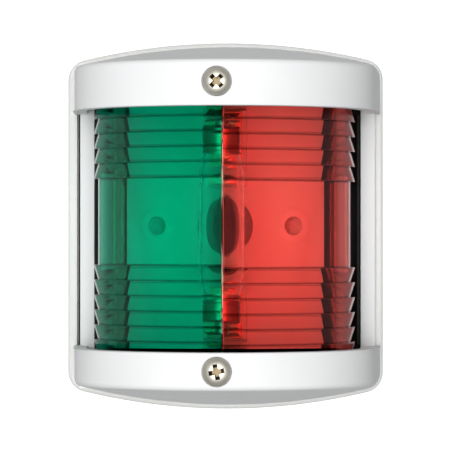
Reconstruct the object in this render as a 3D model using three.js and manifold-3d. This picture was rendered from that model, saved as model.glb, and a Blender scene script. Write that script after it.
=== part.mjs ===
// Bi-colour navigation light for a small boat: a white base and front cover, a two-colour prism lens,
// and a festoon bulb between two spring contacts.
//
// Millimetres, +Z up. The lamp hangs on a vertical bulkhead, the plane y = 0, and its front faces -Y.
// "Depth" is the distance in front of the bulkhead, so a point at depth d has y = -d.
// The green half of the lens is on the -X side and the red half on the +X side.

import * as THREE from 'three';
import { mergeVertices } from 'three/addons/utils/BufferGeometryUtils.js';
import Module from 'manifold-3d';

const wasm = await Module();
wasm.setup();

// ---- driving dimensions ----------------------------------------------------------------------

const GAP = 0.05;                 // between pieces that rest on each other
const WIRE_SIDES = 8;
const ROUND_STEPS = 24;           // sides of a small round piece

const REAR_GASKET = { thickness: 1.5, inset: 1.2 };

const BASE = {
  halfWidth: 35, halfHeight: 40.6, archRadius: 135, cornerRadius: 4.5,
  floorDepth: 3.3,                // front of the floor
  rimDepth: 4.5,                  // front of the raised rim
  rimWidth: 2.1,
  edgeChamfer: 0.6,
};
const MOUNT_HOLE = { x: 15.7, radius: 2.1, seatRadius: 4, seatFront: 3.9 };
const CABLE_HOLE = {
  radius: 5.2, flangeRadius: 6.3, flangeFront: 4.6, backDepth: 0.2,
  dimpleRadius: 3.2, dimpleDepth: 3,  // the dimple leaves a thin web for the cable to pierce
};

const COVER = {
  halfWidth: 33.8, halfHeight: 39.7, archRadius: 134, cornerRadius: 3,
  frontRadius: 32.6,              // half-cylinder front about the lamp's vertical axis
  frontHalfHeight: 34.4,
  wall: 2.2,
  windowHalfWidth: 29.5, windowTop: 24.8, windowBottom: -26.55,
  stripHalfWidth: 32.7,           // outer faces of the two side strips
  stripFront: 6.3,
  lipDepth: 3.6, lipClearance: 0.8,   // the lip that locates the cover inside the rim
  sidePlay: 0.6,                  // the cover and the lens sit this far towards +X
};

const AXIS_DEPTH = 18;            // depth of the vertical axis shared by bulb, lens and cover

const LENS = {
  outerRadius: 27.5, innerRadius: 24.6,
  toothHeight: 0.95, toothPitch: 3.22, teeth: 5,
  smoothHalf: 9.25,               // half the height of the smooth middle
  greenCentre: 0.8, redCentre: 0.2,   // height of each half's smooth middle
  top: 26.4, bottom: -27.2, endWall: 1.6,
  joint: 1, jointGap: 0.3,
};
const LENS_GASKET = {
  halfWidth: 32.6, innerHalfWidth: 23.4, rail: 3.2,
  lipHalfWidth: 29.25, lipThickness: 0.6, lipFront: 9.5,   // a lip beside each side strip of the cover
};

const SCREW = {
  top: 29.8, bottom: -30.5,       // heights of the two cover screws
  x: 0.7,                         // both stand on the side that the cover is pushed to
  headRadius: 3.05, headHeight: 1.9, shankRadius: 1.45, end: 23.5,
  recessArm: 1.65, recessWidth: 0.95, recessDepth: 1.1,
  turn: { top: 45, bottom: 12 },  // how far each cross recess is turned
};
const POST = { radius: 2.95, front: 30, boreRadius: 2.15, boreEnd: 21 };
const INSERT = { radius: 1.95, boreRadius: 1.65, start: 22 };
const BOSS = { radius: 3, start: 31.6, boreRadius: 1.75, seatRadius: 3.2, seatDepth: 0.6 };
const RETAINER = { radius: 2.6, boreRadius: 1.55, start: 30.3, thickness: 1 };

const BULB = {
  radius: 5, neckRadius: 3.7, glassHalf: 14.2, wall: 0.6,
  capRadius: 4.25, capStart: 12.9, capEnd: 18.4, nubRadius: 1.5, tip: 21,
  filamentRadius: 0.2, filamentSag: 0.8,
};

const CONTACT = {
  blockFront: 6.3, blockHalfWidth: 5, blockStart: 8.6, blockEnd: 21.4,
  plateHalfWidth: 4, plateStart: 9.2, plateEnd: 20.9, plateThickness: 0.8,
  leafZ: 19.7, leafThickness: 0.5, leafHalfWidth: 3.6, leafFront: 22.6,
  forkHalfWidth: 1.75, forkStart: 15.8,
};
const RIVET = { z: 17.2, headRadius: 1.8, headHeight: 0.9, shankRadius: 1, end: 4.4 };
const TERMINAL = {
  z: 12.2, clampHalf: 3, clampThickness: 0.8,
  headRadius: 2.5, headHeight: 1.6, shankRadius: 1.25, end: 3, slotWidth: 0.8, slotDepth: 0.8,
};

// ---- materials -------------------------------------------------------------------------------

const material = (color, roughness, metalness = 0) =>
  new THREE.MeshStandardMaterial({ color, roughness, metalness });

const WHITE = material(0xe9eaea, 0.35);
const BLACK_RUBBER = material(0x141414, 0.8);
const GREY_RUBBER = material(0x7c7c7a, 0.7);
const GREY_FOAM = material(0xa6a6a2, 0.9);
const GREEN = material(0x009a58, 0.08);
const RED = material(0xdc2222, 0.08);
const STAINLESS = material(0xc8c3b4, 0.3, 1);
const BRASS = material(0xb8954a, 0.35, 1);
const CLEAR_GLASS = material(0xf2f6f6, 0.05);
const NICKEL = material(0xb9b9b4, 0.3, 1);
const TUNGSTEN = material(0x55555a, 0.5, 1);

// ---- shape helpers ---------------------------------------------------------------------------

// A three.js geometry as a manifold-3d solid, turned inside out first if its faces point inwards.
function solid(geometry) {
  const bare = geometry.clone();
  bare.deleteAttribute('normal');
  bare.deleteAttribute('uv');
  const merged = mergeVertices(bare, 1e-4);
  const corner = merged.attributes.position.array;
  const index = merged.index.array;
  const at = (i) => new THREE.Vector3(corner[3 * i], corner[3 * i + 1], corner[3 * i + 2]);
  const triangles = [];
  let volume = 0;
  for (let i = 0; i < index.length; i += 3) {
    const [a, b, c] = [index[i], index[i + 1], index[i + 2]];
    if (a === b || b === c || c === a) continue;
    triangles.push([a, b, c]);
    volume += at(a).dot(at(b).cross(at(c)));
  }
  const order = volume > 0 ? triangles : triangles.map(([a, b, c]) => [a, c, b]);
  return new wasm.Manifold(new wasm.Mesh({
    numProp: 3, vertProperties: new Float32Array(corner), triVerts: new Uint32Array(order.flat()),
  }));
}

// A z range above the middle (side 1), or its mirror image below it (side -1).
const upOrDown = (side, z0, z1) => (side > 0 ? [z0, z1] : [-z1, -z0]);

// A block between two corners, given as x, depth and z ranges.
function block([x0, x1], [depth0, depth1], [z0, z1]) {
  const box = new THREE.BoxGeometry(x1 - x0, depth1 - depth0, z1 - z0);
  box.translate((x0 + x1) / 2, -(depth0 + depth1) / 2, (z0 + z1) / 2);
  return solid(box);
}

// An outline in the x-z plane, made solid from one depth to another.
function plate(shape, depth0, depth1, steps = 6) {
  const slab = new THREE.ExtrudeGeometry(shape, {
    depth: depth1 - depth0, bevelEnabled: false, curveSegments: steps,
  });
  slab.rotateX(Math.PI / 2);
  slab.translate(0, -depth0, 0);
  return solid(slab);
}

// A profile of [radius, depth] pairs turned about a line that runs forward at (x, z).
function turnedForward(profile, x, z, steps = ROUND_STEPS) {
  const lathe = new THREE.LatheGeometry(profile.map(([r, d]) => new THREE.Vector2(r, d)), steps);
  lathe.rotateX(Math.PI);
  lathe.translate(x, 0, z);
  return solid(lathe);
}

// A profile of [radius, height] pairs turned about the vertical line at (0, -AXIS_DEPTH).
function turnedUpright(profile, steps = ROUND_STEPS) {
  const lathe = new THREE.LatheGeometry(profile.map(([r, h]) => new THREE.Vector2(r, h)), steps);
  lathe.rotateX(Math.PI / 2);
  lathe.translate(0, -AXIS_DEPTH, 0);
  return solid(lathe);
}

const rod = (radius, depth0, depth1, x, z, steps) =>
  turnedForward([[0, depth0], [radius, depth0], [radius, depth1], [0, depth1]], x, z, steps);

const sleeve = (radius, bore, depth0, depth1, x, z) =>
  rod(radius, depth0, depth1, x, z).subtract(rod(bore, depth0 - 1, depth1 + 1, x, z));

// A skin over closed loops of equal length, closed at both ends with the given cap triangles.
function loft(loops, cap) {
  const count = loops[0].length;
  const index = [];
  for (let k = 0; k + 1 < loops.length; k += 1) {
    for (let i = 0; i < count; i += 1) {
      const j = (i + 1) % count;
      const [a, b, c, d] = [k * count + i, k * count + j, (k + 1) * count + j, (k + 1) * count + i];
      index.push(a, b, c, a, c, d);
    }
  }
  const last = (loops.length - 1) * count;
  for (const [a, b, c] of cap) index.push(a, c, b, last + a, last + b, last + c);
  const geometry = new THREE.BufferGeometry();
  geometry.setAttribute('position', new THREE.Float32BufferAttribute(loops.flat(2), 3));
  geometry.setIndex(index);
  return solid(geometry);
}

// ---- outlines --------------------------------------------------------------------------------

// Where an arched outline's corner arc meets its arch: the corner's centre height and the angle.
function archCorner({ halfWidth, halfHeight, archRadius, cornerRadius }) {
  const across = halfWidth - cornerRadius;
  const rise = Math.sqrt((archRadius - cornerRadius) ** 2 - across ** 2);
  return { across, height: halfHeight - archRadius + rise, angle: Math.atan2(rise, across) };
}

// A tall outline with straight sides, arched top and bottom, and rounded corners.
function archedShape(size) {
  const { halfWidth, halfHeight, archRadius, cornerRadius } = size;
  const { across, height, angle } = archCorner(size);
  const centre = halfHeight - archRadius;
  const shape = new THREE.Shape();
  shape.moveTo(halfWidth, -height);
  shape.lineTo(halfWidth, height);
  shape.absarc(across, height, cornerRadius, 0, angle);
  shape.absarc(0, centre, archRadius, angle, Math.PI - angle);
  shape.absarc(-across, height, cornerRadius, Math.PI - angle, Math.PI);
  shape.lineTo(-halfWidth, -height);
  shape.absarc(-across, -height, cornerRadius, Math.PI, Math.PI + angle);
  shape.absarc(0, -centre, archRadius, Math.PI + angle, 2 * Math.PI - angle);
  shape.absarc(across, -height, cornerRadius, 2 * Math.PI - angle, 2 * Math.PI);
  return shape;
}

// Half the height of an arched outline at the distance x from its middle.
function archHeight(size, x) {
  const { across, height, angle } = archCorner(size);
  const reach = Math.abs(x);
  const cornerStart = across + size.cornerRadius * Math.cos(angle);
  if (reach <= cornerStart) {
    return size.halfHeight - size.archRadius + Math.sqrt(size.archRadius ** 2 - reach ** 2);
  }
  return height + Math.sqrt(Math.max(0, size.cornerRadius ** 2 - (reach - across) ** 2));
}

const inset = (size, by) => ({
  halfWidth: size.halfWidth - by,
  halfHeight: size.halfHeight - by,
  archRadius: size.archRadius - by,
  cornerRadius: Math.max(size.cornerRadius - by, 0.8),
});

// ---- base ------------------------------------------------------------------------------------

const cableHole = () => rod(CABLE_HOLE.radius, -1, 9, 0, 0);

// The foam is whole behind the mounting holes, so that it seals round the screws that pierce it.
const rearGasket = () => plate(archedShape(inset(BASE, REAR_GASKET.inset)), 0, REAR_GASKET.thickness)
  .subtract(cableHole());

function baseHousing() {
  const back = REAR_GASKET.thickness + GAP;
  const chamferDepth = BASE.rimDepth - BASE.edgeChamfer;
  const lower = plate(archedShape(BASE), back, chamferDepth);
  const upper = plate(archedShape(inset(BASE, BASE.edgeChamfer / 2)), chamferDepth - 0.1, BASE.rimDepth);
  const tray = plate(archedShape(inset(BASE, BASE.rimWidth)), BASE.floorDepth, 9);
  let part = lower.add(upper).subtract(tray).subtract(cableHole());
  for (const x of [MOUNT_HOLE.x, -MOUNT_HOLE.x]) {
    part = part.add(rod(MOUNT_HOLE.seatRadius, BASE.floorDepth - 0.5, MOUNT_HOLE.seatFront, x, 0));
    part = part.subtract(rod(MOUNT_HOLE.radius, -1, 9, x, 0, 16));
  }
  for (const z of [SCREW.top, SCREW.bottom]) {
    part = part.add(rod(POST.radius, BASE.floorDepth - 0.5, POST.front, SCREW.x, z));
    part = part.subtract(rod(POST.boreRadius, POST.boreEnd, POST.front + 1, SCREW.x, z));
  }
  for (const side of [1, -1]) {
    const width = [-CONTACT.blockHalfWidth, CONTACT.blockHalfWidth];
    part = part.add(block(width, [BASE.floorDepth - 0.5, CONTACT.blockFront],
      upOrDown(side, CONTACT.blockStart, CONTACT.blockEnd)));
    part = part.subtract(rod(RIVET.shankRadius + 0.3, RIVET.end - 0.3, 9, 0, side * RIVET.z, 12));
    part = part.subtract(rod(TERMINAL.shankRadius + 0.3, TERMINAL.end - 0.3, 9, 0, side * TERMINAL.z, 12));
  }
  return part;
}

// A rubber bush with a flange in front of the floor, closed by a thin web at the bottom of a dimple.
function cableGrommet() {
  const { radius, flangeRadius, flangeFront, backDepth, dimpleRadius, dimpleDepth } = CABLE_HOLE;
  const neck = radius - 0.15;
  return turnedForward([
    [0, backDepth], [neck, backDepth], [neck, BASE.floorDepth + GAP],
    [flangeRadius, BASE.floorDepth + GAP], [flangeRadius, flangeFront],
    [dimpleRadius, flangeFront], [dimpleRadius, flangeFront - dimpleDepth],
    [0, flangeFront - dimpleDepth],
  ], 0, 0);
}

const threadedInsert = (z) =>
  sleeve(INSERT.radius, INSERT.boreRadius, INSERT.start, POST.front - 0.1, SCREW.x, z);

// ---- lens ------------------------------------------------------------------------------------

const LENS_FOOT = BASE.rimDepth + 0.15;

// A flat frame under the lens's foot, with a lip on each side beside the cover's strip.
function lensGasket() {
  const { halfWidth, innerHalfWidth, rail, lipHalfWidth, lipThickness, lipFront } = LENS_GASKET;
  const back = BASE.floorDepth + GAP;
  const outer = block([-halfWidth, halfWidth], [back, BASE.rimDepth],
    [LENS.bottom - 0.1, LENS.top + 0.1]);
  const hole = block([-innerHalfWidth, innerHalfWidth], [0, 9], [LENS.bottom + rail, LENS.top - rail]);
  let part = outer.subtract(hole);
  for (const side of [-1, 1]) {
    const faces = [lipHalfWidth - lipThickness, lipHalfWidth].map((x) => COVER.sidePlay + side * x);
    const height = [COVER.windowBottom + 0.3, COVER.windowTop - 0.3];
    part = part.add(block(faces.sort((a, b) => a - b), [back, lipFront], height));
  }
  return part;
}

// Heights and radii of the lens's outer face, from its bottom edge to its top edge.
function lensProfile(patternCentre) {
  const { outerRadius, toothHeight, toothPitch, teeth, smoothHalf } = LENS;
  const crest = outerRadius + toothHeight;
  const profile = [[LENS.bottom, outerRadius]];
  for (let k = teeth; k >= 1; k -= 1) {
    profile.push([patternCentre - smoothHalf - toothPitch * k, outerRadius]);
    profile.push([patternCentre - smoothHalf - toothPitch * (k - 1), crest]);
  }
  profile.push([patternCentre - smoothHalf, outerRadius]);
  profile.push([patternCentre + smoothHalf, outerRadius]);
  for (let k = 1; k <= teeth; k += 1) {
    profile.push([patternCentre + smoothHalf + toothPitch * (k - 1), crest]);
    profile.push([patternCentre + smoothHalf + toothPitch * k, outerRadius]);
  }
  profile.push([LENS.top, outerRadius]);
  return profile;
}

// Plan of one lens half at a radius: a straight leg from the foot, then an arc to the joint.
// side is 1 for the half on the +X side and -1 for the other.
function lensArc(radius, side, z, arcSteps = 14) {
  const start = (side * Math.PI) / 2;
  const end = Math.asin((LENS.joint + (side * LENS.jointGap) / 2) / radius);
  const points = [[side * radius, -LENS_FOOT, z]];
  for (let i = 0; i <= arcSteps; i += 1) {
    const angle = start + ((end - start) * i) / arcSteps;
    points.push([radius * Math.sin(angle), -AXIS_DEPTH - radius * Math.cos(angle), z]);
  }
  return points;
}

function lensHalf(side) {
  const centre = side > 0 ? LENS.redCentre : LENS.greenCentre;
  const loops = lensProfile(centre).map(([z, radius]) => [
    ...lensArc(radius, side, z), ...lensArc(LENS.innerRadius, side, z).reverse(),
  ]);
  const count = loops[0].length;
  const cap = [];
  for (let i = 0; i + 1 < count / 2; i += 1) {
    const across = count - 1 - i;
    cap.push([i, i + 1, across - 1], [i, across - 1, across]);
  }
  let part = loft(loops, cap);
  const wallPlan = new THREE.Shape(lensArc(LENS.innerRadius + 0.1, side, 0)
    .concat([[LENS.joint + (side * LENS.jointGap) / 2, -LENS_FOOT, 0]])
    .map(([x, y]) => new THREE.Vector2(x, y)));
  for (const z of [LENS.bottom, LENS.top - LENS.endWall]) {
    const wall = new THREE.ExtrudeGeometry(wallPlan, { depth: LENS.endWall, bevelEnabled: false });
    wall.translate(0, 0, z);
    part = part.add(solid(wall));
  }
  return part;
}

// ---- front cover -----------------------------------------------------------------------------

// The cover's outer body, or the hollow inside it when shrink is the wall's thickness. Each loop is a
// section across x: its back corners lie on the arched contour, its front corners on the half-cylinder.
function coverBody(shrink, columns = 18) {
  const loops = [];
  for (let i = 0; i <= columns; i += 1) {
    const angle = Math.PI * (i / columns - 0.5);
    const backX = COVER.halfWidth * Math.sin(angle);
    const backHeight = archHeight(COVER, backX) - shrink;
    const narrowed = (COVER.halfWidth - shrink) * Math.sin(angle);
    const radius = COVER.frontRadius - shrink;
    const frontX = radius * Math.sin(angle);
    const frontY = -AXIS_DEPTH - radius * Math.cos(angle);
    const backY = -BASE.rimDepth - GAP + (shrink > 0 ? 1 : 0);
    const frontHeight = COVER.frontHalfHeight - shrink;
    loops.push([
      [narrowed, backY, backHeight], [frontX, frontY, frontHeight],
      [frontX, frontY, -frontHeight], [narrowed, backY, -backHeight],
    ]);
  }
  return loft(loops, [[0, 1, 2], [0, 2, 3]]);
}

function frontCover() {
  const zWindow = [COVER.windowBottom, COVER.windowTop];
  const lipOutline = archedShape(inset(BASE, BASE.rimWidth + COVER.lipClearance));
  const lipHole = archedShape(inset(BASE, BASE.rimWidth + COVER.lipClearance + COVER.wall));
  const lip = plate(lipOutline, COVER.lipDepth, BASE.rimDepth + 1.2)
    .subtract(plate(lipHole, 0, BASE.rimDepth + 3))
    .subtract(block([-60, 60], [0, 9], [COVER.windowBottom - 3, COVER.windowTop + 3]));
  let part = coverBody(0).subtract(coverBody(COVER.wall)).add(lip);
  part = part.subtract(block([-60, 60], [0, 90], zWindow));
  for (const side of [-1, 1]) {
    const xRange = [COVER.windowHalfWidth, COVER.stripHalfWidth].map((x) => side * x).sort((a, b) => a - b);
    const depths = [BASE.rimDepth + 0.15, COVER.stripFront];
    part = part.add(block(xRange, depths, [COVER.windowBottom - 1.5, COVER.windowTop + 1.5]));
  }
  for (const z of [SCREW.top, SCREW.bottom]) {
    const front = AXIS_DEPTH + COVER.frontRadius;
    const x = SCREW.x - COVER.sidePlay;
    part = part.add(rod(BOSS.radius, BOSS.start, front - COVER.wall / 2, x, z));
    part = part.subtract(rod(BOSS.boreRadius, BOSS.start - 1, front + 1, x, z));
    part = part.subtract(rod(BOSS.seatRadius, front - BOSS.seatDepth, front + 2, x, z));
  }
  return part;
}

// ---- fasteners -------------------------------------------------------------------------------

// A pan head with a cross recess, on a plain shank.
function coverScrew(z, turn) {
  const seat = AXIS_DEPTH + COVER.frontRadius - BOSS.seatDepth + GAP;
  const top = seat + SCREW.headHeight;
  const screw = turnedForward([
    [0, SCREW.end], [SCREW.shankRadius - 0.4, SCREW.end], [SCREW.shankRadius, SCREW.end + 0.8],
    [SCREW.shankRadius, seat], [SCREW.headRadius, seat], [SCREW.headRadius, seat + 0.7],
    [SCREW.headRadius * 0.85, top - 0.45], [SCREW.headRadius * 0.5, top - 0.1], [0, top],
  ], 0, 0);
  const arm = [-SCREW.recessArm, SCREW.recessArm];
  const slit = [-SCREW.recessWidth / 2, SCREW.recessWidth / 2];
  const depths = [top - SCREW.recessDepth, top + 1];
  return screw
    .subtract(block(arm, depths, slit))
    .subtract(block(slit, depths, arm))
    .rotate([0, turn, 0])
    .translate([SCREW.x, 0, z]);
}

// A rubber ring on the shank that keeps the screw in the cover.
function screwRetainer(z) {
  const { radius, boreRadius, start, thickness } = RETAINER;
  return sleeve(radius, boreRadius, start, start + thickness, SCREW.x, z);
}

// ---- bulb ------------------------------------------------------------------------------------

const bulbGlass = () => turnedUpright([
  [BULB.neckRadius - BULB.wall, -BULB.glassHalf], [BULB.neckRadius, -BULB.glassHalf],
  [BULB.neckRadius, -BULB.glassHalf + 1.3], [BULB.radius - 0.5, -10.5], [BULB.radius, -7],
  [BULB.radius, 7], [BULB.radius - 0.5, 10.5], [BULB.neckRadius, BULB.glassHalf - 1.3],
  [BULB.neckRadius, BULB.glassHalf], [BULB.neckRadius - BULB.wall, BULB.glassHalf],
  [BULB.neckRadius - BULB.wall, BULB.glassHalf - 1.3], [BULB.radius - 0.5 - BULB.wall, 10.5],
  [BULB.radius - BULB.wall, 7], [BULB.radius - BULB.wall, -7], [BULB.radius - 0.5 - BULB.wall, -10.5],
  [BULB.neckRadius - BULB.wall, -BULB.glassHalf + 1.3], [BULB.neckRadius - BULB.wall, -BULB.glassHalf],
]);

// A metal cap that holds the glass in a recess, with a nub on its far side for the contact.
function bulbCap(side) {
  const recess = BULB.glassHalf + GAP;
  const profile = [
    [0, recess], [BULB.neckRadius + GAP, recess], [BULB.neckRadius + GAP, BULB.capStart],
    [BULB.capRadius, BULB.capStart], [BULB.capRadius, BULB.capEnd - 0.5],
    [BULB.capRadius - 0.5, BULB.capEnd], [BULB.nubRadius, BULB.capEnd + 0.2],
    [BULB.nubRadius, BULB.tip - 0.8], [BULB.nubRadius - 0.7, BULB.tip], [0, BULB.tip],
  ];
  return turnedUpright(profile.map(([radius, height]) => [radius, side * height]));
}

// A thin wire that runs from cap to cap and bows forward a little between them.
function bulbFilament() {
  const end = BULB.glassHalf - 0.2;
  const path = new THREE.QuadraticBezierCurve3(
    new THREE.Vector3(0, -AXIS_DEPTH, -end),
    new THREE.Vector3(0, -AXIS_DEPTH - 2 * BULB.filamentSag, 0),
    new THREE.Vector3(0, -AXIS_DEPTH, end),
  );
  const section = new THREE.Shape();
  section.absarc(0, 0, BULB.filamentRadius, 0, 2 * Math.PI);
  return solid(new THREE.ExtrudeGeometry(section, {
    steps: 16, extrudePath: path, curveSegments: WIRE_SIDES / 2, bevelEnabled: false,
  }));
}

// ---- contacts, one above the bulb (side 1) and one below it (side -1) ------------------------

const PLATE_BACK = CONTACT.blockFront + GAP;
const PLATE_FRONT = PLATE_BACK + CONTACT.plateThickness;

function terminalPlate(side) {
  const width = [-CONTACT.plateHalfWidth, CONTACT.plateHalfWidth];
  return block(width, [PLATE_BACK, PLATE_FRONT], upOrDown(side, CONTACT.plateStart, CONTACT.plateEnd))
    .subtract(rod(RIVET.shankRadius + 0.3, 0, 20, 0, side * RIVET.z, 12))
    .subtract(rod(TERMINAL.shankRadius + 0.3, 0, 20, 0, side * TERMINAL.z, 12));
}

// A springy leaf whose forked front end grips the nub of the bulb's cap.
function contactLeaf(side) {
  const width = [-CONTACT.leafHalfWidth, CONTACT.leafHalfWidth];
  const thick = upOrDown(side, CONTACT.leafZ, CONTACT.leafZ + CONTACT.leafThickness);
  const fork = [-CONTACT.forkHalfWidth, CONTACT.forkHalfWidth];
  return block(width, [PLATE_FRONT + 0.1, CONTACT.leafFront], thick)
    .subtract(block(fork, [CONTACT.forkStart, 40], upOrDown(side, 0, 40)));
}

const contactRivet = (side) => turnedForward([
  [0, RIVET.end], [RIVET.shankRadius, RIVET.end], [RIVET.shankRadius, PLATE_FRONT + GAP],
  [RIVET.headRadius, PLATE_FRONT + GAP], [RIVET.headRadius * 0.8, PLATE_FRONT + 0.6],
  [0, PLATE_FRONT + RIVET.headHeight],
], 0, side * RIVET.z, 16);

function terminalClamp(side) {
  const half = [-TERMINAL.clampHalf, TERMINAL.clampHalf];
  const depths = [PLATE_FRONT + GAP, PLATE_FRONT + GAP + TERMINAL.clampThickness];
  const height = half.map((z) => z + side * TERMINAL.z);
  return block(half, depths, height)
    .subtract(rod(TERMINAL.shankRadius + 0.3, 0, 20, 0, side * TERMINAL.z, 12));
}

function terminalScrew(side) {
  const seat = PLATE_FRONT + 2 * GAP + TERMINAL.clampThickness;
  const top = seat + TERMINAL.headHeight;
  const z = side * TERMINAL.z;
  const slot = [z - TERMINAL.slotWidth / 2, z + TERMINAL.slotWidth / 2];
  return turnedForward([
    [0, TERMINAL.end], [TERMINAL.shankRadius, TERMINAL.end], [TERMINAL.shankRadius, seat],
    [TERMINAL.headRadius, seat], [TERMINAL.headRadius, top - 0.3], [TERMINAL.headRadius - 0.3, top],
    [0, top],
  ], 0, z, 16).subtract(block([-9, 9], [top - TERMINAL.slotDepth, top + 1], slot));
}

// ---- assembly --------------------------------------------------------------------------------

const lamp = new THREE.Group();

function add(name, part, look, parent = lamp) {
  const { vertProperties, triVerts } = part.getMesh();
  const geometry = new THREE.BufferGeometry();
  geometry.setAttribute('position', new THREE.Float32BufferAttribute(vertProperties, 3));
  geometry.setIndex(Array.from(triVerts));
  const flat = geometry.toNonIndexed();
  flat.computeVertexNormals();
  const mesh = new THREE.Mesh(flat, look);
  mesh.name = name;
  parent.add(mesh);
}

const removable = new THREE.Group();      // the pieces that sit sideways by the assembly play
removable.position.x = COVER.sidePlay;
lamp.add(removable);

add('rear_gasket', rearGasket(), GREY_FOAM);
add('base_housing', baseHousing(), WHITE);
add('cable_grommet', cableGrommet(), GREY_RUBBER);
add('lens_gasket', lensGasket(), BLACK_RUBBER);
add('lens_green', lensHalf(-1), GREEN, removable);
add('lens_red', lensHalf(1), RED, removable);
add('front_cover', frontCover(), WHITE, removable);
add('bulb_glass', bulbGlass(), CLEAR_GLASS);
add('bulb_filament', bulbFilament(), TUNGSTEN);

for (const [place, side] of [['top', 1], ['bottom', -1]]) {
  const z = SCREW[place];
  add(`cover_screw_${place}`, coverScrew(z, SCREW.turn[place]), STAINLESS);
  add(`screw_retainer_${place}`, screwRetainer(z), BLACK_RUBBER);
  add(`threaded_insert_${place}`, threadedInsert(z), BRASS);
  add(`bulb_cap_${place}`, bulbCap(side), NICKEL);
  add(`terminal_plate_${place}`, terminalPlate(side), BRASS);
  add(`contact_spring_${place}`, contactLeaf(side), BRASS);
  add(`contact_rivet_${place}`, contactRivet(side), BRASS);
  add(`terminal_clamp_${place}`, terminalClamp(side), NICKEL);
  add(`terminal_screw_${place}`, terminalScrew(side), NICKEL);
}

export default lamp;
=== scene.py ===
"""The looks of a bi-colour boat navigation light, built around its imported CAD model.

Sizes here are millimetres in the model's own frame: +Z up, the bulkhead at y = 0, the front towards -Y.
"Depth" is the distance in front of the bulkhead, so a point at depth d has y = -d.
build_mesh() turns millimetres into Blender's metres.
"""
import math
from collections import namedtuple

import bmesh
import bpy
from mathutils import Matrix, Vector


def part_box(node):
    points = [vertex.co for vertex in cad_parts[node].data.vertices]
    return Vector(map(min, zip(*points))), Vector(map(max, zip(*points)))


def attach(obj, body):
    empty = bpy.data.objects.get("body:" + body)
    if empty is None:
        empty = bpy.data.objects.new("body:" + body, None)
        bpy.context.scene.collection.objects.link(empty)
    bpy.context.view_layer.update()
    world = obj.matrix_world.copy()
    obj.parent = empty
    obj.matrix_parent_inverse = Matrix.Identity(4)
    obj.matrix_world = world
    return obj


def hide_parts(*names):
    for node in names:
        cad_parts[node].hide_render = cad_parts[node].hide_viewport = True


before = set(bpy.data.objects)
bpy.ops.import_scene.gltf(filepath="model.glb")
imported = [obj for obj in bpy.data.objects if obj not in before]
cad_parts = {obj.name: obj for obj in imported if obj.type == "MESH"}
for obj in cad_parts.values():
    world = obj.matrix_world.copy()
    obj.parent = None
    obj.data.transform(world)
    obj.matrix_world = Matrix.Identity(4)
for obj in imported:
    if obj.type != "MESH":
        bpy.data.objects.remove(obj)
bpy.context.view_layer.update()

# ---- sizes, from the frame -------------------------------------------------------------------

METRES = 0.001
Span = namedtuple("Span", "x0 x1 d0 d1 z0 z1")


def span(node):
    """A CAD node's lowest and highest x, depth and z, in millimetres."""
    low, high = (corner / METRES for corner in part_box(node))
    return Span(low.x, high.x, -high.y, -low.y, low.z, high.z)


BASE = span("base_housing")
REAR_GASKET = span("rear_gasket")
GROMMET = span("cable_grommet")
COVER = span("front_cover")
LENS_GREEN = span("lens_green")
LENS_RED = span("lens_red")
LENS_GASKET = span("lens_gasket")
GLASS = span("bulb_glass")

HALF_WIDTH = BASE.x1
HALF_HEIGHT = BASE.z1
ARCH_RADIUS = 135                      # of the base's top and bottom edges
CORNER_RADIUS = 4.5
RIM_DEPTH = 4.5                        # front of the base's raised rim
RIM_WIDTH = 2.1
FLOOR_DEPTH = LENS_GASKET.d0 - 0.05    # front of the base's floor
MOUNT_HOLE_X = 15.7
MOUNT_HOLE_RADIUS = 2.1
SEAT_RADIUS = 4                        # of the raised ring round each mounting hole
SEAT_FRONT = 3.9
CABLE_HOLE_RADIUS = 5.2

AXIS_DEPTH = (GLASS.d0 + GLASS.d1) / 2           # the vertical axis of bulb, lens and cover
SIDE_PLAY = (COVER.x0 + COVER.x1) / 2            # cover and lens sit this far towards +X
COVER_HALF_WIDTH = (COVER.x1 - COVER.x0) / 2
COVER_HALF_HEIGHT = COVER.z1
COVER_RADIUS = COVER.d1 - AXIS_DEPTH
COVER_FRONT_HEIGHT = 34.4              # half the height of the half-cylinder front
COVER_WALL = 2.2
WINDOW_TOP = 24.8
WINDOW_BOTTOM = -26.55
WINDOW_HALF_WIDTH = 29.5
STRIP_HALF_WIDTH = 32.7
STRIP_FRONT = 6.3

LENS_CREST = LENS_GREEN.d1 - AXIS_DEPTH
TOOTH_HEIGHT = 0.95
LENS_RADIUS = LENS_CREST - TOOTH_HEIGHT
LENS_INNER = 24.6
LENS_TOP = LENS_GREEN.z1
LENS_BOTTOM = LENS_GREEN.z0
LENS_FOOT = LENS_GREEN.d0
TOOTH_PITCH = 3.22
TEETH = 5
SMOOTH_HALF = 9.25                     # half the height of the lens's smooth middle
END_WALL = 1.6
JOINT = (LENS_GREEN.x1 + LENS_RED.x0) / 2 - SIDE_PLAY
JOINT_GAP = LENS_RED.x0 - LENS_GREEN.x1
GREEN_CENTRE = 0.8                     # height of each half's smooth middle
RED_CENTRE = 0.2

# ---- mesh tools ------------------------------------------------------------------------------


def build_mesh(name, points, faces):
    """A new object from points in millimetres (x, y, z) and faces of point numbers."""
    mesh = bpy.data.meshes.new(name)
    mesh.from_pydata([tuple(c * METRES for c in p) for p in points], [], faces)
    piece = bpy.data.objects.new(name, mesh)
    bpy.context.scene.collection.objects.link(piece)
    clean(piece)
    return piece


def clean(piece):
    """Merges doubled points, drops faces without area, and turns the faces outwards."""
    work = bmesh.new()
    work.from_mesh(piece.data)
    bmesh.ops.remove_doubles(work, verts=work.verts, dist=1e-7)
    bmesh.ops.dissolve_degenerate(work, edges=work.edges, dist=1e-8)
    bmesh.ops.recalc_face_normals(work, faces=work.faces)
    work.to_mesh(piece.data)
    work.free()


def apply_modifiers(piece):
    graph = bpy.context.evaluated_depsgraph_get()
    result = bpy.data.meshes.new_from_object(piece.evaluated_get(graph))
    piece.modifiers.clear()
    piece.data = result


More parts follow.
